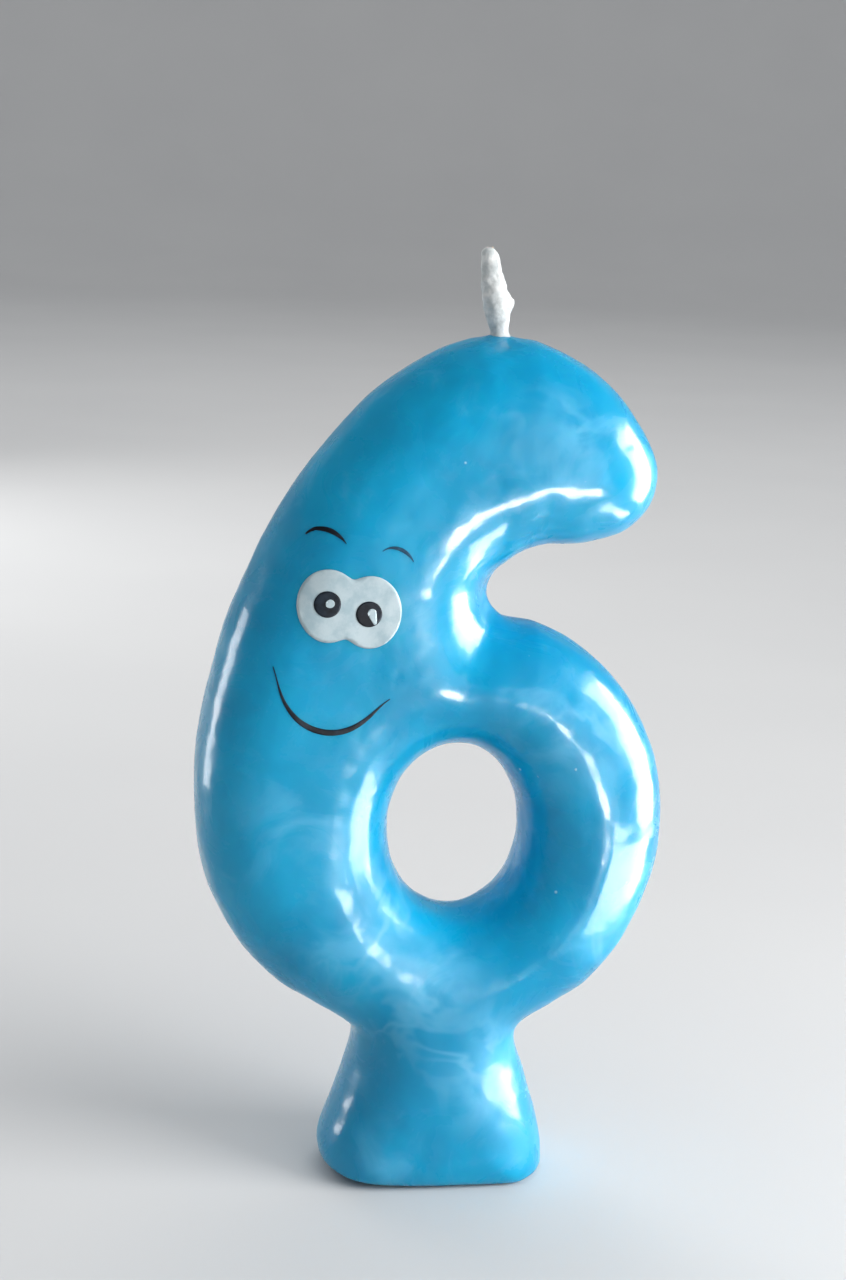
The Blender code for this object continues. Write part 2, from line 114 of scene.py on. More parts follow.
# The wax coat on the wick, from its top down, as (share of its height, radius in millimetres).
COAT_PROFILE = [
    (1.05, 0.02),
    (1.045, 0.28),
    (1.02, 0.54),
    (0.98, 0.71),
    (0.90, 0.82),
    (0.75, 0.90),
    (0.60, 1.06),
    (0.44, 1.16),
    (0.28, 1.12),
    (0.13, 0.92),
    (0.00, 0.80),
    (-0.06, 0.92),
    (-0.11, 1.25),
    (-0.15, 1.7),
]
COAT_RINGS = 110
COAT_SPOKES = 72
COAT_LUMP = 0.09  # lumps, grains and the braid's ridges are shares of the coat's radius
COAT_LUMP_SIZE = 1.1 * MM
COAT_GRAIN = 0.02
COAT_GRAIN_SIZE = 0.35 * MM
COAT_RIDGE = 0.025
COAT_TURNS = 1.4  # how often the ridges turn around the coat
DRIP_SHARE = 0.375  # how far up the coat the drip is
DRIP_REACH = 0.52  # mm
DRIP_HEIGHT = 0.72 * MM
DRIP_TURN = 0.62  # radians

# The yarn.
PATH_STEP = 0.35 * MM
YARN_RADIUS = 0.15 * MM
YARN_TIP = (0.95, 0.8, 0.45)  # the last rings' shares of the radius
YARN_TIP_GAP = 0.25 * MM  # how far the yarn ends under the top of its box
YARN_TWIST = 0.35
YARN_LOBE = 0.14
FIBRES = 7
FIBRE_LENGTH = (0.25, 0.42)  # mm
FIBRE_SPREAD = 0.07  # mm
FIBRE_LEAN = 0.35
FIBRE_STEPS = 8
FIBRE_RADIUS = (0.022, 0.010)  # mm, at the root and at the tip

# Patches on the wax, as (place across and up its box, radius), both in shares of the box.
# Paler patches in the wax: partly its own cloudy marbling, partly painted sheen, a lighter tone laid
# where the light from the right falls on the bowl and the hook.
CLOUD_AND_SHEEN_PATCHES = [
    ((0.22, 0.45), 0.21),
    ((0.33, 0.31), 0.20),
    ((0.74, 0.56), 0.19),
    ((0.76, 0.88), 0.17),
    ((0.51, 0.27), 0.15),
    ((0.45, 0.68), 0.12),
    ((0.62, 0.12), 0.14),
    ((0.42, 0.05), 0.13),
]
BLOOM_PATCHES = [
    ((0.38, 0.33), 0.22),
    ((0.46, 0.24), 0.20),
    ((0.60, 0.17), 0.18),
    ((0.80, 0.55), 0.16),
    ((0.90, 0.30), 0.14),
    ((0.70, 0.90), 0.14),
]

# Colours, in linear light.
WAX_DARK, WAX_BRIGHT = (0.002, 0.275, 0.49), (0.003, 0.355, 0.60)
# Partly the wax's paler clouds, partly painted sheen: the tone of the bowl where the light from the
# right falls on it.
CLOUD_AND_SHEEN_COLOUR = (0.13, 0.50, 0.74)
VEIN_COLOUR = (0.22, 0.56, 0.76)
SPECK_COLOUR = (0.55, 0.75, 0.85)
DIP_DARK, DIP_BRIGHT = (0.50, 0.53, 0.53), (0.70, 0.71, 0.70)
COTTON_DARK, COTTON_BRIGHT = (0.60, 0.58, 0.52), (0.88, 0.87, 0.82)
BLACK_THIN, BLACK_FULL = (0.020, 0.030, 0.045), (0.006, 0.008, 0.012)
FADED_THIN, FADED_FULL = (0.010, 0.10, 0.19), (0.010, 0.045, 0.085)
WHITE_THIN, WHITE_FULL = (0.34, 0.46, 0.51), (0.46, 0.56, 0.595)
FLOOR_DARK, FLOOR_BRIGHT = (0.60, 0.60, 0.60), (0.64, 0.64, 0.635)

# The lights, as (name, place, target, width and height, brightness, what it does). A light that
# only shines shows in glossy surfaces, and one that only lights doesn't show in them.
SHINE, LIGHT = "shine", "light"
LIGHTS = [
    ("right_strip", (0.125, 0.000, 0.056), MIDDLE, (0.085, 0.11), 31.0, SHINE),
    ("foot_card", (0.047, -0.022, 0.011), (0.004, -0.004, 0.008), (0.050, 0.022), 30.0, SHINE),
    ("low_front_card", (0.038, -0.092, 0.017), (-0.002, -0.006, 0.055), (0.022, 0.018), 72.0, SHINE),
    ("left_strip", (-0.15, 0.066, 0.03), MIDDLE, (0.045, 0.09), 12.0, SHINE),
    ("front_right_panel", (0.080, -0.162, 0.056), MIDDLE, (0.085, 0.11), 3.2, SHINE),
    ("right_fill", (0.22, -0.12, 0.10), MIDDLE, (0.16, 0.16), 10.0, LIGHT),
    ("high_back", (0.10, 0.45, 0.55), MIDDLE, (0.5, 0.4), 2.0, LIGHT),
    ("back_fill", (-0.16, 0.34, 0.14), MIDDLE, (0.16, 0.16), 4.5, LIGHT),
    ("high_front", (0.35, -0.35, 0.60), MIDDLE, (0.5, 0.5), 1.7, LIGHT),
]
SKY_COLOUR = (0.80, 0.82, 0.85, 1)
SKY_LIGHT = 0.66
SKY_SHINE = 0.14  # the sky's brightness where it shows in a glossy surface

# The stage.
STAGE_FLAT = 0.9
STAGE_BEND = 0.35
STAGE_TOP = 0.65
STAGE_SPOKES = 96
STAGE_BEND_STEPS = 24

# The camera: from above and slightly from the left, with the candle leaning to the right.
CAMERA_PLACE = (-36.24, -212.8, 98.52)  # mm
CAMERA_LENS = 70.3
CAMERA_ELEVATION = 12.8  # degrees, as are the next two
CAMERA_AZIMUTH = -9.1
CAMERA_ROLL = 2.07


def as_array(vectors):
    return np.array([tuple(v) for v in vectors])


def welded(node):
    """A copy of a CAD node's mesh with the vertices that its file splits joined again."""
    work = bmesh.new()
    work.from_mesh(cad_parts[node].data)
    bmesh.ops.remove_doubles(work, verts=work.verts, dist=0.001 * MM)
    return work


def node_points(*nodes):
    return as_array([v.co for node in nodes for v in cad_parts[node].data.vertices])


def new_object(name, mesh, material):
    obj = bpy.data.objects.new(name, mesh)
    bpy.context.scene.collection.objects.link(obj)
    mesh.materials.append(material)
    return obj


def apply_modifiers(obj, material):
    graph = bpy.context.evaluated_depsgraph_get()
    mesh = bpy.data.meshes.new_from_object(obj.evaluated_get(graph))
    obj.modifiers.clear()
    obj.data = mesh
    mesh.materials.clear()
    mesh.materials.append(material)
    mesh.shade_smooth()


def stand_in(obj, node):
    """Puts a finished piece in the place of a CAD node."""
    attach(obj, "root")
    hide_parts(node)


def mesh_values(mesh, name):
    values = np.empty(len(mesh.vertices) * 3, np.float32)
    if name == "normal":
        mesh.vertex_normals.foreach_get("vector", values)
    else:
        mesh.vertices.foreach_get(name, values)
    return values.reshape(-1, 3).astype(float)


def place_points(mesh, points, low, high):
    """Moves a mesh's vertices to the given points, kept between two corners."""
    points = np.clip(points, tuple(low), tuple(high))
    mesh.vertices.foreach_set("co", points.astype(np.float32).ravel())
    mesh.update()


def noise_field(points, size, seed, octaves=3):
    """Smooth noise between about -1 and 1, with features of the given size."""
    offset = Vector((seed * 17.3, seed * 5.1, seed * 9.7))
    return np.array([noise.fractal(Vector(p) / size + offset, 0.6, 2.0, octaves) for p in points])


def wick_line():
    """The standing wick's centre, as the slope and offset of x against z."""
    points = node_points(*STRANDS)
    standing = points[points[:, 2] > WAX_HIGH.z]
    return np.polyfit(standing[:, 2], standing[:, 0], 1)


WICK_LINE = wick_line()


# ---------------------------------------------------------------- the wax body


def midplane_chains(work):
    """The runs of edges where the front and back halves meet, away from the wick's bore."""
    wick = node_points(*STRANDS)
    tree = KDTree(len(wick))
    for index, point in enumerate(wick):
        tree.insert((point[0], 0.0, point[2]), index)
    tree.balance()
    links = {}
    for edge in work.edges:
        ends = edge.verts
        if any(abs(v.co.y) > FLAT_GAP for v in ends) or all(v.co.z < FLAT_GAP for v in ends):
            continue
        if any(tree.find(v.co)[2] < BORE_GAP for v in ends):
            continue
        for near, far in (ends, reversed(ends)):
            links.setdefault(near, []).append(far)
    chains = []
    seen = set()
    for start in sorted(links, key=lambda v: len(links[v])):
        if start in seen:
            continue
        chain = [start]
        seen.add(start)
        while True:
            onward = [v for v in links[chain[-1]] if v not in seen]
            if not onward:
                break
            chain.append(onward[0])
            seen.add(onward[0])
        chains.append(np.array([(v.co.x, v.co.z) for v in chain]))
    return chains


def smooth_loop(points, spacing):
    """A closed Catmull-Rom curve through the points, with its points an even distance apart."""
    before, after, beyond = (np.roll(points, shift, axis=0) for shift in (1, -1, -2))
    steps = []
    for t in np.linspace(0.0, 1.0, 8, endpoint=False):
        steps.append(
            0.5
            * (
                2 * points
                + (after - before) * t
                + (2 * before - 5 * points + 4 * after - beyond) * t**2
                + (3 * points - before - 3 * after + beyond) * t**3
            )
        )
    fine = np.stack(steps, axis=1).reshape(-1, 2)
    lengths = np.linalg.norm(np.roll(fine, -1, axis=0) - fine, axis=1)
    stations = np.concatenate([[0.0], np.cumsum(lengths)])
    wanted = np.arange(0.0, stations[-1] - spacing / 2, spacing)
    closed = np.vstack([fine, fine[:1]])
    return np.stack([np.interp(wanted, stations, closed[:, axis]) for axis in (0, 1)], axis=1)


def numeral_loops():
    """The numeral's outline and its hole, read off the CAD body.

    The outline is closed by a skirt below the base, which is cut off again with the solid.
    """
    work = welded("wax_body")
    chains = sorted(midplane_chains(work), key=len)
    work.free()
    hole = next(c for c in reversed(chains) if c[:, 1].min() > 5 * MM and c[:, 1].max() < 50 * MM)
    rising = next(c for c in chains if c[:, 0].min() < WAX_LOW.x + MM)
    falling = next(c for c in chains if c[:, 0].max() > WAX_HIGH.x - MM)
    if rising[0, 1] > rising[-1, 1]:
        rising = rising[::-1]
    if falling[0, 1] < falling[-1, 1]:
        falling = falling[::-1]
    left, right = rising[0, 0], falling[-1, 0]
    skirt = [(right * 0.92, -2.0 * MM), (right * 0.48, -2.8 * MM)]
    skirt += [(left * 0.5, -2.8 * MM), (left * 0.9, -1.4 * MM)]
    outline = np.vstack([rising, falling, skirt])
    return [smooth_loop(outline, FINE_SPACING), smooth_loop(hole, FINE_SPACING)]


def distance_to(points, loops):
    nearest = np.full(len(points), np.inf)
    for loop in loops:
        for start, end in zip(loop, np.roll(loop, -1, axis=0)):
            run = end - start
            along = np.clip((points - start) @ run / (run @ run), 0.0, 1.0)
            gap = np.linalg.norm(points - start - along[:, None] * run, axis=1)
            nearest = np.minimum(nearest, gap)
    return nearest


def inside(points, loops):
    odd = np.zeros(len(points), bool)
    for loop in loops:
        for (x0, z0), (x1, z1) in zip(loop, np.roll(loop, -1, axis=0)):
            spans = (z0 > points[:, 1]) != (z1 > points[:, 1])
            if spans.any():
                crossing = x0 + (points[:, 1] - z0) * (x1 - x0) / (z1 - z0)
                odd ^= spans & (points[:, 0] < crossing)
    return odd


def inset_points(loops, depth):
    """Points that follow the loops at an even depth, without those that cross over to another side."""
    found = []
    for loop in loops:
        along = np.roll(loop, -1, axis=0) - np.roll(loop, 1, axis=0)
        along /= np.linalg.norm(along, axis=1)[:, None]
        for side in (1.0, -1.0):
            found.append(loop + depth * side * np.stack([-along[:, 1], along[:, 0]], axis=1))
    points = np.vstack(found)
    points = points[inside(points, loops)]
    return points[distance_to(points, loops) > 0.985 * depth]


def lattice_points(loops, margin, spacing):
    low, high = loops[0].min(axis=0), loops[0].max(axis=0)
    x, z = np.meshgrid(np.arange(low[0], high[0], spacing), np.arange(low[1], high[1], spacing))
    grid = np.stack([x.ravel(), z.ravel()], axis=1)
    grid = grid[inside(grid, loops)]
    return grid[distance_to(grid, loops) > margin]


def thinned(points, spacing):
    """At most one point in each square cell."""
    cells = np.round(points / spacing).astype(int)
    first = np.unique(cells, axis=0, return_index=True)[1]
    return points[np.sort(first)]


def puffed_height(depth):
    share = 1.0 - np.clip(depth / EDGE_ROUND, 0.0, 1.0)
    share[depth < 0.001 * MM] = 1.0
    return HALF_THICKNESS * (1.0 - share**EDGE_FULLNESS) ** (1.0 / EDGE_FULLNESS)


def crease_depth(points):
    """The valley that runs down from the notch, between the stem and the top of the bowl."""
    line = np.array(CREASE_LINE) * MM
    nearest, along, side = np.full(len(points), np.inf), np.zeros(len(points)), np.zeros(len(points))
    for index, (start, end) in enumerate(zip(line[:-1], line[1:])):
        run = end - start
        share = np.clip((points - start) @ run / (run @ run), 0.0, 1.0)
        offset = points - start - share[:, None] * run
        gap = np.linalg.norm(offset, axis=1)
        closer = gap < nearest
        nearest[closer] = gap[closer]
        along[closer] = (index + share[closer]) / (len(line) - 1)
        side[closer] = (run[0] * offset[closer, 1] - run[1] * offset[closer, 0]) / np.linalg.norm(run)
    lean = np.clip(0.5 + side / (2.0 * CREASE_SOFTNESS), 0.0, 1.0)
    reach = CREASE_REACH[0] * (1.0 - lean) + CREASE_REACH[1] * lean
    soft = np.hypot(nearest, CREASE_SOFTNESS) - CREASE_SOFTNESS
    fade = 0.5 + 0.5 * np.cos(math.pi * along)
    return CREASE_DEPTH * fade * np.exp(-((soft / reach) ** 1.2))


def puffed_solid(loops):
    """The smooth puffed numeral as a closed mesh, cut flat at the base."""
    depths = [EDGE_ROUND * (1.0 - math.cos(math.radians(angle))) for angle in INSET_ANGLES]
    inner = np.vstack([inset_points(loops, depth) for depth in depths])
    lattice = lattice_points(loops, depths[-1] + MERGE_GAP, FINE_SPACING)
    inner = thinned(np.vstack([inner, lattice]), MERGE_GAP)
    edges, start = [], 0
    for loop in loops:
        edges += [(start + i, start + (i + 1) % len(loop)) for i in range(len(loop))]
        start += len(loop)
    flat = np.vstack([*loops, inner]) / MM
    points, _, triangles, *_ = delaunay_2d_cdt([Vector(p) for p in flat], edges, [], 1, 1e-6)
    points = as_array(points) * MM
    triangles = np.array(triangles)
    triangles = triangles[inside(points[triangles].mean(axis=1), loops)]
    height = puffed_height(distance_to(points, loops))
    height -= np.minimum(crease_depth(points), CREASE_SHARE * height)
    front = np.stack([points[:, 0], -height, points[:, 1]], axis=1)
    back = front * (1.0, -1.0, 1.0)
    mesh = bpy.data.meshes.new("fine_wax_body")
    faces = triangles.tolist() + (triangles[:, ::-1] + len(front)).tolist()
    mesh.from_pydata(np.vstack([front, back]).tolist(), [], faces)
    work = bmesh.new()
    work.from_mesh(mesh)
    bmesh.ops.remove_doubles(work, verts=work.verts, dist=0.002 * MM)
    geometry = [*work.verts, *work.edges, *work.faces]
    up = (0, 0, 1)
    bmesh.ops.bisect_plane(work, geom=geometry, plane_co=(0, 0, 0), plane_no=up, clear_inner=True)
    bmesh.ops.holes_fill(work, edges=[e for e in work.edges if e.is_boundary])
    bmesh.ops.recalc_face_normals(work, faces=work.faces)
    work.to_mesh(mesh)
    work.free()
    return mesh


def dented(points):
    """How far each point is pushed in by small shallow knocks, such as wax takes in a box."""
    random = np.random.default_rng(6)
    centres = points[random.integers(0, len(points), DENT_COUNT)]
    push = np.zeros(len(points))
    for centre in centres:
        radius = random.uniform(*DENT_RADIUS) * MM
        depth = random.uniform(*DENT_DEPTH) * MM
        gap = np.linalg.norm(points - centre, axis=1)
        push -= depth * np.exp(-((gap / radius) ** 2))
    return push


def shape_base(points):
    """Rounds the cast foot's lower edge, and lifts its left end off the table."""
    radius = BASE_EDGE_RADIUS
    drop = np.clip(radius - points[:, 2], 0.0, None)
    inset = radius - np.sqrt(np.maximum(radius**2 - drop**2, 0.0))
    reach = np.linalg.norm(points[:, :2], axis=1)
    points[:, :2] *= (1.0 - inset / np.maximum(reach, radius))[:, None]
    left = np.clip(-points[:, 0] / LIFT_REACH + 0.05, 0.0, 1.0)
    near_base = np.clip(1.0 - points[:, 2] / LIFT_HEIGHT, 0.0, 1.0)
    points[:, 2] += BASE_LIFT * left**1.6 * near_base**2
    return points


def make_wax_body(material):
    body = new_object("fine_wax_body", puffed_solid(numeral_loops()), material)
    remesh = body.modifiers.new("even mesh", "REMESH")
    remesh.mode = "VOXEL"
    remesh.voxel_size = WAX_VOXEL
    relax = body.modifiers.new("relax", "SMOOTH")
    relax.factor = 0.5
    relax.iterations = 5
    apply_modifiers(body, material)
    points, normals = mesh_values(body.data, "co"), mesh_values(body.data, "normal")
    out = SWELL_HEIGHT * noise_field(points, SWELL_SIZE, 1)
    out += WAVE_HEIGHT * noise_field(points, WAVE_SIZE, 4)
    out += RIPPLE_HEIGHT * noise_field(points, RIPPLE_SIZE, 2)
    seam = SEAM_HEIGHT * np.exp(-((points[:, 1] / SEAM_WIDTH) ** 2))
    seam *= 0.6 + 0.4 * noise_field(points, SEAM_PATCH, 3, 1)
    out += seam * (1.0 - np.abs(normals[:, 1])) - SKIN_ROOM
    out += dented(points)
    from_wick = np.hypot(points[:, 0] - np.polyval(WICK_LINE, points[:, 2]), points[:, 1])
    crown = points[:, 2] > 0.9 * WAX_HIGH.z
    out += crown * WICK_COLLAR * np.exp(-((from_wick / COLLAR_REACH) ** 2))
    points += normals * (out * np.clip(points[:, 2] / BASE_CALM, 0.0, 1.0))[:, None]
    points = shape_base(points)
    place_points(body.data, points, WAX_LOW, (WAX_HIGH.x, WAX_HIGH.y, CAD_BOX[1].z))
    stand_in(body, "wax_body")
    return body


# ---------------------------------------------------------------- the wick


def lofted(name, rings):
    """A closed tube through rings of points, which all have the same count."""
    count = len(rings[0])
    verts = np.vstack(rings)
    faces = []
    for ring in range(len(rings) - 1):
        for spoke in range(count):
            onward = (spoke + 1) % count
            low, high = ring * count, (ring + 1) * count
            faces.append((low + spoke, low + onward, high + onward, high + spoke))
    faces.append(tuple(range(count))[::-1])
    faces.append(tuple((len(rings) - 1) * count + i for i in range(count)))
    mesh = bpy.data.meshes.new(name)
    mesh.from_pydata(verts.tolist(), [], faces)
    return mesh


def recalculated(mesh):
    work = bmesh.new()
    work.from_mesh(mesh)
    bmesh.ops.recalc_face_normals(work, faces=work.faces)
    work.to_mesh(mesh)
    work.free()
    mesh.shade_smooth()
    return mesh


def make_wick_coat(material):
    """The white wax on the standing wick: lumpy, with a drip on its right and a skirt at its foot."""
    shares, radii = np.array(COAT_PROFILE[::-1]).T
    height = COAT_HIGH.z - COAT_LOW.z
    angles = np.linspace(0.0, math.tau, COAT_SPOKES, endpoint=False)
    runs = np.hypot(np.diff(shares) * height / MM, np.diff(radii))
    stations = np.concatenate([[0.0], np.cumsum(runs)])
    rings = []
    for station in np.linspace(0.0, stations[-1], COAT_RINGS):
        share, radius = (np.interp(station, stations, values) for values in (shares, radii))
        z = COAT_LOW.z + share * height
        axis = np.array([np.polyval(WICK_LINE, z), 0.0, z])
        spokes = np.stack([np.cos(angles), np.sin(angles), np.zeros(COAT_SPOKES)], axis=1)
        lumps = noise_field(axis + spokes * MM, COAT_LUMP_SIZE, 4)
        grains = noise_field(axis + spokes * MM, COAT_GRAIN_SIZE, 5, 2)
        ridges = np.cos(len(STRANDS) * (angles - math.tau * share * COAT_TURNS))
        reach = radius * (1.0 + COAT_LUMP * lumps + COAT_GRAIN * grains + COAT_RIDGE * ridges)
        drop = ((z - COAT_LOW.z) - DRIP_SHARE * height) / DRIP_HEIGHT
        turn = np.minimum(angles, math.tau - angles)
        reach += DRIP_REACH * math.exp(-(drop**2)) * np.exp(-((turn / DRIP_TURN) ** 2))
        ring = axis + spokes * reach[:, None] * MM
        ring[:, 2] += 0.05 * MM * lumps * min(1.0, radius)
        rings.append(ring)
    coat = new_object("wick_dip_wax", recalculated(lofted("wick_dip_wax", rings)), material)
    top = (COAT_HIGH.x, COAT_HIGH.y, CAD_BOX[1].z)
    place_points(coat.data, mesh_values(coat.data, "co"), CAD_BOX[0], top)
    stand_in(coat, "wick_wax_coat")


def strand_path(node):
    """The centre of a CAD strand, from its lower end up."""
    points = node_points(node)
    low, high = points[:, 2].min(), points[:, 2].max()
    levels = np.linspace(low, high, round((high - low) / PATH_STEP))
    middles = []
    for bottom, top in zip(levels, levels[1:]):
        near = points[(points[:, 2] >= bottom) & (points[:, 2] <= top)]
        if len(near) > 3:
            middles.append(near.mean(axis=0))
    path = np.array(middles)
    for _ in range(2):
        path[1:-1] = (path[:-2] + 2 * path[1:-1] + path[2:]) / 4
    return path


def tube_rings(path, radius, spokes=14, lobes=3, twist=0.0):
    """Rings around a path. Lobes that twist along it stand for the plies of a yarn."""
    along = np.gradient(path, axis=0)
    along /= np.linalg.norm(along, axis=1)[:, None]
    angles = np.linspace(0.0, math.tau, spokes, endpoint=False)
    side = np.cross(along, (0.0, 1.0, 0.0))
    side /= np.linalg.norm(side, axis=1)[:, None]
    front = np.cross(along, side)
    rings = []
    for index, centre in enumerate(path):
        reach = radius[index] * (1.0 + YARN_LOBE * np.cos(lobes * (angles - twist * index)))
        ring = np.outer(reach * np.cos(angles), side[index])
        ring += np.outer(reach * np.sin(angles), front[index])
        rings.append(centre + ring)
    return rings


def make_strand(seed, node, material):
    """A plied cotton strand with a frayed tip."""
    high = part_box(node)[1]
    path = strand_path(node)
    stations = np.arange(len(path))
    finer = np.linspace(0, len(path) - 1, 4 * len(path))
    path = np.stack([np.interp(finer, stations, path[:, axis]) for axis in range(3)], axis=1)
    path = path[path[:, 2] < high.z - YARN_TIP_GAP]
    radius = np.full(len(path), YARN_RADIUS)
    radius[-len(YARN_TIP) :] *= YARN_TIP
    work = bmesh.new()
    work.from_mesh(lofted(node, tube_rings(path, radius, twist=YARN_TWIST)))
    random = np.random.default_rng(seed)
    steps = np.linspace(0.0, 1.0, FIBRE_STEPS)[:, None]
    thin = np.linspace(*FIBRE_RADIUS, FIBRE_STEPS) * MM
    for _ in range(FIBRES):
        start = path[-len(YARN_TIP)] + random.uniform(-FIBRE_SPREAD, FIBRE_SPREAD, 3) * MM
        lean_x, lean_y = random.uniform(-FIBRE_LEAN, FIBRE_LEAN, 2)
        length = random.uniform(*FIBRE_LENGTH) * MM
        rise = np.array([lean_x, lean_y, 1.0]) * length * steps
        curl = np.array([lean_y, lean_x, 0.0]) * length * steps**2
        hair = start + rise + curl
        hair[:, 2] = np.minimum(hair[:, 2], high.z)
        work.from_mesh(lofted("fibre", tube_rings(hair, thin, spokes=6)))
    bmesh.ops.recalc_face_normals(work, faces=work.faces)
    mesh = bpy.data.meshes.new(f"{node}_yarn")
    work.to_mesh(mesh)
    work.free()
    mesh.shade_smooth()
    strand = new_object(f"{node}_yarn", mesh, material)
    place_points(mesh, mesh_values(mesh, "co"), *CAD_BOX)
    stand_in(strand, node)


# ---------------------------------------------------------------- the printed face


def rounded_outline(work):
    """Smooths the corners of a flat mesh's outline."""
    outline = {v: [e.other_vert(v) for e in v.link_edges if e.is_boundary] for v in work.verts}
    outline = {v: ends for v, ends in outline.items() if len(ends) == 2}
    for _ in range(OUTLINE_PASSES):
        moved = {v: v.co / 2 + (a.co + b.co) / 4 for v, (a, b) in outline.items()}
        for vert, place in moved.items():
            vert.co = place


def make_print(name, node, layer, skin, material):
    """A thin film of ink that lies on the fine wax. Its layer counts the films under it."""
    work = welded(node)
    work.normal_update()
    bmesh.ops.delete(work, geom=[f for f in work.faces if f.normal.y > -0.3], context="FACES")
    bmesh.ops.subdivide_edges(work, edges=work.edges, cuts=3, use_grid_fill=True)
    rounded_outline(work)
    lift = PRINT_GAP + layer * (PRINT_THICKNESS + PRINT_GAP)
    for vert in work.verts:
        start = Vector((vert.co.x, 2 * WAX_LOW.y, vert.co.z))
        hit, normal, _, _ = skin.ray_cast(start, Vector((0, 1, 0)))
        if hit:
            vert.co = hit + normal * lift
    mesh = bpy.data.meshes.new(name)
    work.to_mesh(mesh)
    work.free()
    film = new_object(name, mesh, material)
    thicken = film.modifiers.new("ink thickness", "SOLIDIFY")
    thicken.thickness = PRINT_THICKNESS
    thicken.offset = 1.0
    apply_modifiers(film, material)
    stand_in(film, node)


# ---------------------------------------------------------------- materials


class Graph:
    """A node material under construction. Sizes are in millimetres, on the object's own coordinates."""

    def __init__(self, name):
        self.material = bpy.data.materials.new(name)
        self.material.use_nodes = True
        self.tree = self.material.node_tree
        self.shader = self.tree.nodes["Principled BSDF"]
        self.place = self.node("ShaderNodeTexCoord").outputs["Object"]

    def node(self, kind, inputs=None, **settings):
        node = self.tree.nodes.new(kind)
        for key, value in settings.items():
            setattr(node, key, value)
        for key, value in (inputs or {}).items():
            self.feed(node.inputs[key], value)
        return node

    def feed(self, socket, value):
        if isinstance(value, bpy.types.NodeSocket):
            self.tree.links.new(value, socket)
        elif isinstance(value, tuple) and socket.type == "RGBA":
            socket.default_value = (*value, 1.0)
        else:
            socket.default_value = value

    def set(self, **inputs):
        for key, value in inputs.items():
            self.feed(self.shader.inputs[key.replace("_", " ")], value)

    def noise(self, size, detail=3.0, roughness=0.5, distortion=0.0, place=None):
        inputs = {"Scale": 1000.0 / size, "Detail": detail, "Roughness": roughness}
        inputs["Distortion"] = distortion
        inputs["Vector"] = place or self.place
        return self.node("ShaderNodeTexNoise", inputs).outputs["Fac"]

    def ranged(self, value, low, high, to_low=0.0, to_high=1.0):
        inputs = {0: value, 1: low, 2: high, 3: to_low, 4: to_high}
        node = self.node("ShaderNodeMapRange", inputs, interpolation_type="SMOOTHSTEP")
        return node.outputs[0]

    def math(self, operation, first, second):
        return self.node("ShaderNodeMath", {0: first, 1: second}, operation=operation).outputs[0]

    def mix(self, factor, first, second):
        node = self.node("ShaderNodeMix", data_type="RGBA")
        colours = [socket for socket in node.inputs if socket.type == "RGBA"]
        self.feed(node.inputs[0], factor)
        self.feed(colours[0], first)
        self.feed(colours[1], second)
        return next(socket for socket in node.outputs if socket.type == "RGBA")

    def patches(self, places):
        """Soft round patches, each 1 at its centre on the front of the wax's box."""
        size = WAX_HIGH - WAX_LOW
        union = None
        for (across, up), radius in places:
            middle = (WAX_LOW.x + across * size.x, WAX_LOW.y, WAX_LOW.z + up * size.z)
            inputs = {0: self.place, 1: middle}
            gap = self.node("ShaderNodeVectorMath", inputs, operation="DISTANCE").outputs["Value"]
            patch = self.ranged(gap, 0.0, radius * size.x, 1.0, 0.0)
            union = self.math("MAXIMUM", union, patch) if union else patch
        return union

    def bump(self, *layers):
        """Adds bump layers, each a height and how many millimetres it stands."""
        normal = None
        for height, distance in layers:
            inputs = {"Height": height, "Distance": distance * MM, "Strength": 1.0}
            if normal:
                inputs["Normal"] = normal
            normal = self.node("ShaderNodeBump", inputs).outputs["Normal"]
        self.set(Normal=normal)


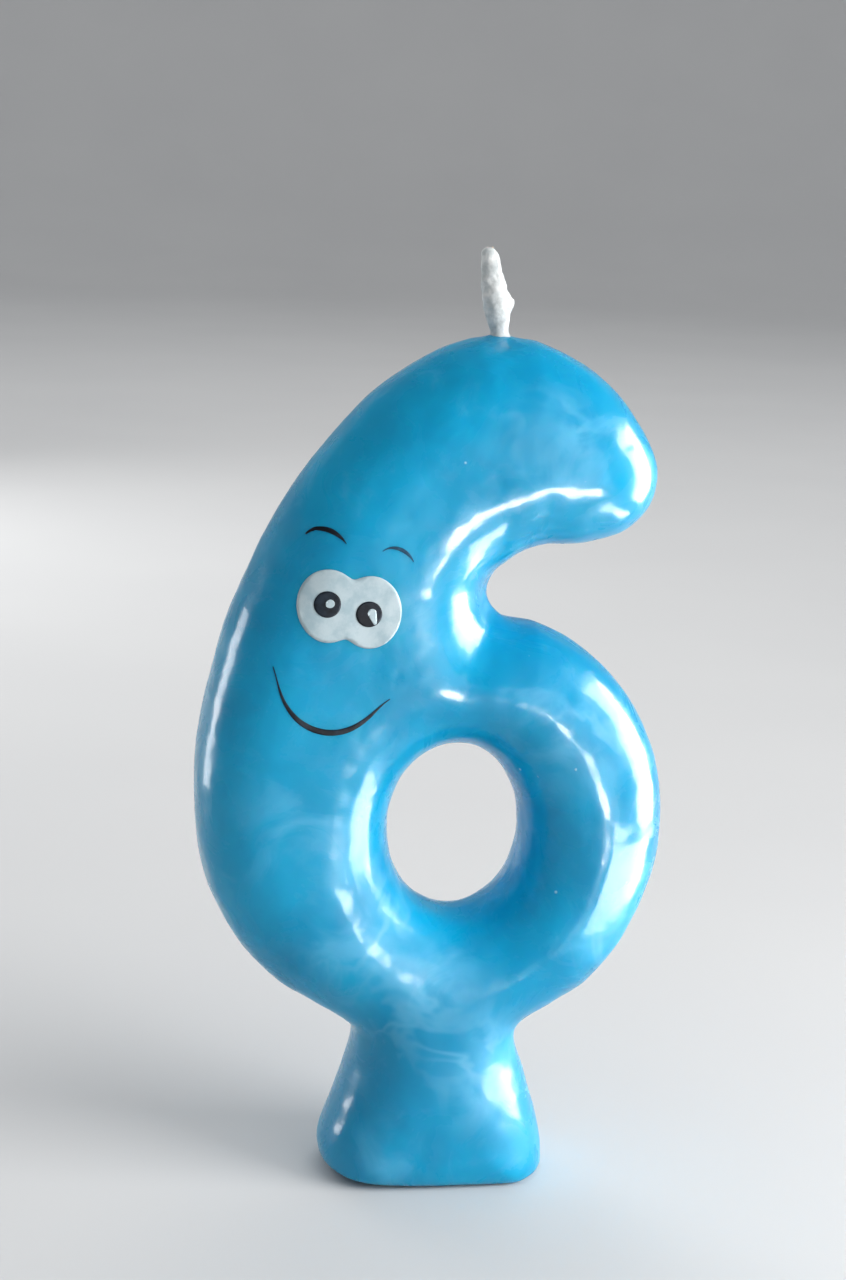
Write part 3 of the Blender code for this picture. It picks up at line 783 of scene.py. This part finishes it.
def blue_wax():
    """Dyed paraffin: deep cyan blue with paler clouds, partly painted sheen on the right of the bowl
    and the hook, glossy where no bloom or smear dulls it.
    """
    graph = Graph("blue_wax")
    dye = graph.ranged(graph.noise(11, 3.0, 0.5, 0.4), 0.35, 0.68)
    colour = graph.mix(dye, WAX_DARK, WAX_BRIGHT)
    # Paler clouds mixed in: partly the wax's marbling, partly painted sheen where the light falls on
    # the right of the bowl and the hook.
    wisps = graph.ranged(graph.noise(6.0, 4.0, 0.55, 0.8), 0.40, 0.66)
    clouds_and_sheen = graph.math("MULTIPLY", graph.patches(CLOUD_AND_SHEEN_PATCHES), wisps)
    thin_wisps = graph.ranged(graph.noise(5.5, 5.0, 0.6, 2.0), 0.56, 0.75, 0.0, 0.3)
    clouds_and_sheen = graph.math("MAXIMUM", clouds_and_sheen, thin_wisps)
    colour = graph.mix(graph.math("MULTIPLY", clouds_and_sheen, 0.60), colour, CLOUD_AND_SHEEN_COLOUR)
    bloom = graph.patches(BLOOM_PATCHES)
    ridge = graph.math("ABSOLUTE", graph.math("SUBTRACT", graph.noise(9, 3.0, 0.5, 0.8), 0.5), 0.0)
    veins = graph.math("MULTIPLY", graph.ranged(ridge, 0.0, 0.05, 0.38, 0.0), bloom)
    colour = graph.mix(veins, colour, VEIN_COLOUR)
    cells = graph.node("ShaderNodeTexVoronoi", {"Vector": graph.place, "Scale": 1000.0 / 2.6})
    specks = graph.ranged(cells.outputs["Distance"], 0.03, 0.07, 1.0, 0.0)
    chosen = graph.ranged(graph.noise(2.6, 1.0), 0.60, 0.62)
    specks = graph.math("MULTIPLY", specks, chosen)
    colour = graph.mix(graph.math("MULTIPLY", specks, 0.6), colour, SPECK_COLOUR)
    smears = graph.ranged(graph.noise(6, 4.0, 0.6, 1.5), 0.35, 0.70, 0.22, 0.36)
    patchy = graph.ranged(graph.noise(3.0, 4.0, 0.6, 1.5), 0.38, 0.60, 0.45, 1.0)
    bloom = graph.math("MULTIPLY", bloom, patchy)
    roughness = graph.math("ADD", smears, graph.math("MULTIPLY", bloom, 0.34))
    graph.set(
        Base_Color=colour,
        Roughness=roughness,
        Subsurface_Weight=0.50,
        Subsurface_Radius=(0.12, 0.6, 1.0),
        Subsurface_Scale=3.5 * MM,
        IOR=1.44,
        Specular_IOR_Level=0.20,
        Coat_Weight=graph.ranged(bloom, 0.1, 0.9, 0.30, 0.02),
        Coat_Roughness=0.10,
        Coat_IOR=1.45,
    )
    graph.bump(
        (graph.noise(2.2, 2.0), 0.03),
        (graph.noise(0.45, 3.0, 0.6), 0.006),
        (specks, 0.02),
    )
    return graph.material


def dip_wax():
    """Milky half-clear paraffin on the wick."""
    graph = Graph("white_dip_wax")
    milky = graph.ranged(graph.noise(1.0, 4.0, 0.6), 0.35, 0.65)
    graph.set(
        Base_Color=graph.mix(milky, DIP_DARK, DIP_BRIGHT),
        Roughness=graph.ranged(graph.noise(0.7, 3.0), 0.3, 0.7, 0.40, 0.60),
        Subsurface_Weight=0.6,
        Subsurface_Radius=(1.0, 1.0, 0.95),
        Subsurface_Scale=0.9 * MM,
        IOR=1.44,
        Specular_IOR_Level=0.12,
    )
    graph.bump((graph.noise(0.5, 4.0, 0.6), 0.05), (graph.noise(0.12, 2.0), 0.01))
    return graph.material


def cotton():
    """Off-white cotton yarn, with fine fibres along it."""
    graph = Graph("cotton")
    stretched = graph.node("ShaderNodeMapping", {"Vector": graph.place, "Scale": (1.0, 1.0, 0.25)})
    fibres = graph.noise(0.05, 3.0, 0.6, place=stretched.outputs[0])
    graph.set(
        Base_Color=graph.mix(fibres, COTTON_DARK, COTTON_BRIGHT),
        Roughness=0.9,
        Sheen_Weight=0.4,
        Subsurface_Weight=0.2,
        Subsurface_Scale=0.2 * MM,
    )
    graph.bump((fibres, 0.02))
    return graph.material


def ink(name, thin, full, roughness, gloss):
    """Pad-printed ink that lies a little unevenly."""
    graph = Graph(name)
    cover = graph.ranged(graph.noise(1.3, 5.0, 0.65), 0.30, 0.62)
    grain = graph.noise(0.22, 3.0, 0.6)
    graph.set(
        Base_Color=graph.mix(cover, thin, full),
        Roughness=graph.ranged(grain, 0.3, 0.7, *roughness),
        Specular_IOR_Level=gloss,
    )
    graph.bump((grain, 0.004), (graph.noise(1.1, 2.0), 0.01))
    return graph.material


def pale_floor():
    """A matt floor with faint grain. It has no shine, so that no light shows in it."""
    graph = Graph("pale_floor")
    grain = graph.noise(2.0, 4.0, 0.6)
    graph.set(
        Base_Color=graph.mix(graph.noise(60.0, 2.0), FLOOR_DARK, FLOOR_BRIGHT),
        Roughness=graph.ranged(grain, 0.3, 0.7, 0.8, 0.9),
        Specular_IOR_Level=0.0,
    )
    graph.bump((grain, 0.01))
    return graph.material


# ---------------------------------------------------------------- the stage, lights and camera


def make_stage():
    """A round pale floor that curves up into a low wall all round."""
    profile = [(0.1, 0.0), (0.3, 0.0), (STAGE_FLAT, 0.0)]
    for angle in np.linspace(0.0, math.pi / 2, STAGE_BEND_STEPS + 1)[1:]:
        out, up = math.sin(angle), 1.0 - math.cos(angle)
        profile.append((STAGE_FLAT + STAGE_BEND * out, STAGE_BEND * up))
    profile.append((STAGE_FLAT + STAGE_BEND, STAGE_TOP))
    turns = np.linspace(0.0, math.tau, STAGE_SPOKES, endpoint=False)
    verts = [(r * math.cos(t), r * math.sin(t), z) for r, z in profile for t in turns]
    faces = [list(range(STAGE_SPOKES))]
    for ring in range(len(profile) - 1):
        near, far = ring * STAGE_SPOKES, (ring + 1) * STAGE_SPOKES
        for spoke in range(STAGE_SPOKES):
            onward = (spoke + 1) % STAGE_SPOKES
            faces.append((near + spoke, far + spoke, far + onward, near + onward))
    mesh = bpy.data.meshes.new("floor")
    mesh.from_pydata(verts, [], faces)
    mesh.shade_smooth()
    new_object("floor", mesh, pale_floor())


def area_light(name, place, target, size, radiance, kind):
    """A rectangular light whose face has the given brightness."""
    data = bpy.data.lights.new(name, "AREA")
    data.shape = "RECTANGLE"
    data.size, data.size_y = size
    data.energy = radiance * math.pi * size[0] * size[1]
    light = bpy.data.objects.new(name, data)
    bpy.context.scene.collection.objects.link(light)
    light.location = place
    light.rotation_euler = (Vector(target) - Vector(place)).to_track_quat("-Z", "Y").to_euler()
    light.visible_camera = False
    light.visible_diffuse = kind == LIGHT
    light.visible_glossy = kind == SHINE


def make_lights():
    for light in LIGHTS:
        area_light(*light)
    world = bpy.data.worlds.new("studio")
    world.use_nodes = True
    tree = world.node_tree
    background = tree.nodes["Background"]
    background.inputs["Color"].default_value = SKY_COLOUR
    rays = tree.nodes.new("ShaderNodeLightPath")
    dim = tree.nodes.new("ShaderNodeMapRange")
    dim.inputs["To Min"].default_value = SKY_LIGHT
    dim.inputs["To Max"].default_value = SKY_SHINE
    tree.links.new(rays.outputs["Is Glossy Ray"], dim.inputs["Value"])
    tree.links.new(dim.outputs["Result"], background.inputs["Strength"])
    bpy.context.scene.world = world


def make_camera():
    elevation, azimuth = math.radians(CAMERA_ELEVATION), math.radians(CAMERA_AZIMUTH)
    level = math.cos(elevation)
    back = Vector((math.sin(azimuth) * level, -math.cos(azimuth) * level, math.sin(elevation)))
    data = bpy.data.cameras.new("camera")
    data.sensor_width = 36.0
    data.lens = CAMERA_LENS
    data.clip_start = 0.01
    camera = bpy.data.objects.new("camera", data)
    bpy.context.scene.collection.objects.link(camera)
    camera.rotation_mode = "QUATERNION"
    aim = (-back).to_track_quat("-Z", "Y")
    roll = Matrix.Rotation(math.radians(CAMERA_ROLL), 3, "Z")
    camera.rotation_quaternion = aim @ roll.to_quaternion()
    camera.location = Vector(CAMERA_PLACE) * MM
    bpy.context.scene.camera = camera


def main():
    wax, white_wax, yarn = blue_wax(), dip_wax(), cotton()
    black = ink("black_ink", BLACK_THIN, BLACK_FULL, (0.40, 0.60), 0.12)
    faded = ink("faded_black_ink", FADED_THIN, FADED_FULL, (0.40, 0.60), 0.12)
    white = ink("white_ink", WHITE_THIN, WHITE_FULL, (0.35, 0.55), 0.3)
    body = make_wax_body(wax)
    skin = BVHTree.FromObject(body, bpy.context.evaluated_depsgraph_get())
    make_print("eye_whites_ink", "eye_whites", 0, skin, white)
    for side in ("left", "right"):
        make_print(f"{side}_pupil_ink", f"{side}_pupil", 1, skin, black)
        make_print(f"{side}_glint_ink", f"{side}_pupil_glint", 2, skin, white)
    make_print("left_brow_ink", "left_brow", 0, skin, black)
    make_print("right_brow_ink", "right_brow", 0, skin, faded)
    make_print("smile_ink", "smile", 0, skin, black)
    make_wick_coat(white_wax)
    for seed, node in enumerate(STRANDS, start=1):
        make_strand(seed, node, yarn)
    make_stage()
    make_lights()
    make_camera()
    bpy.context.scene.view_settings.view_transform = "Standard"


main()
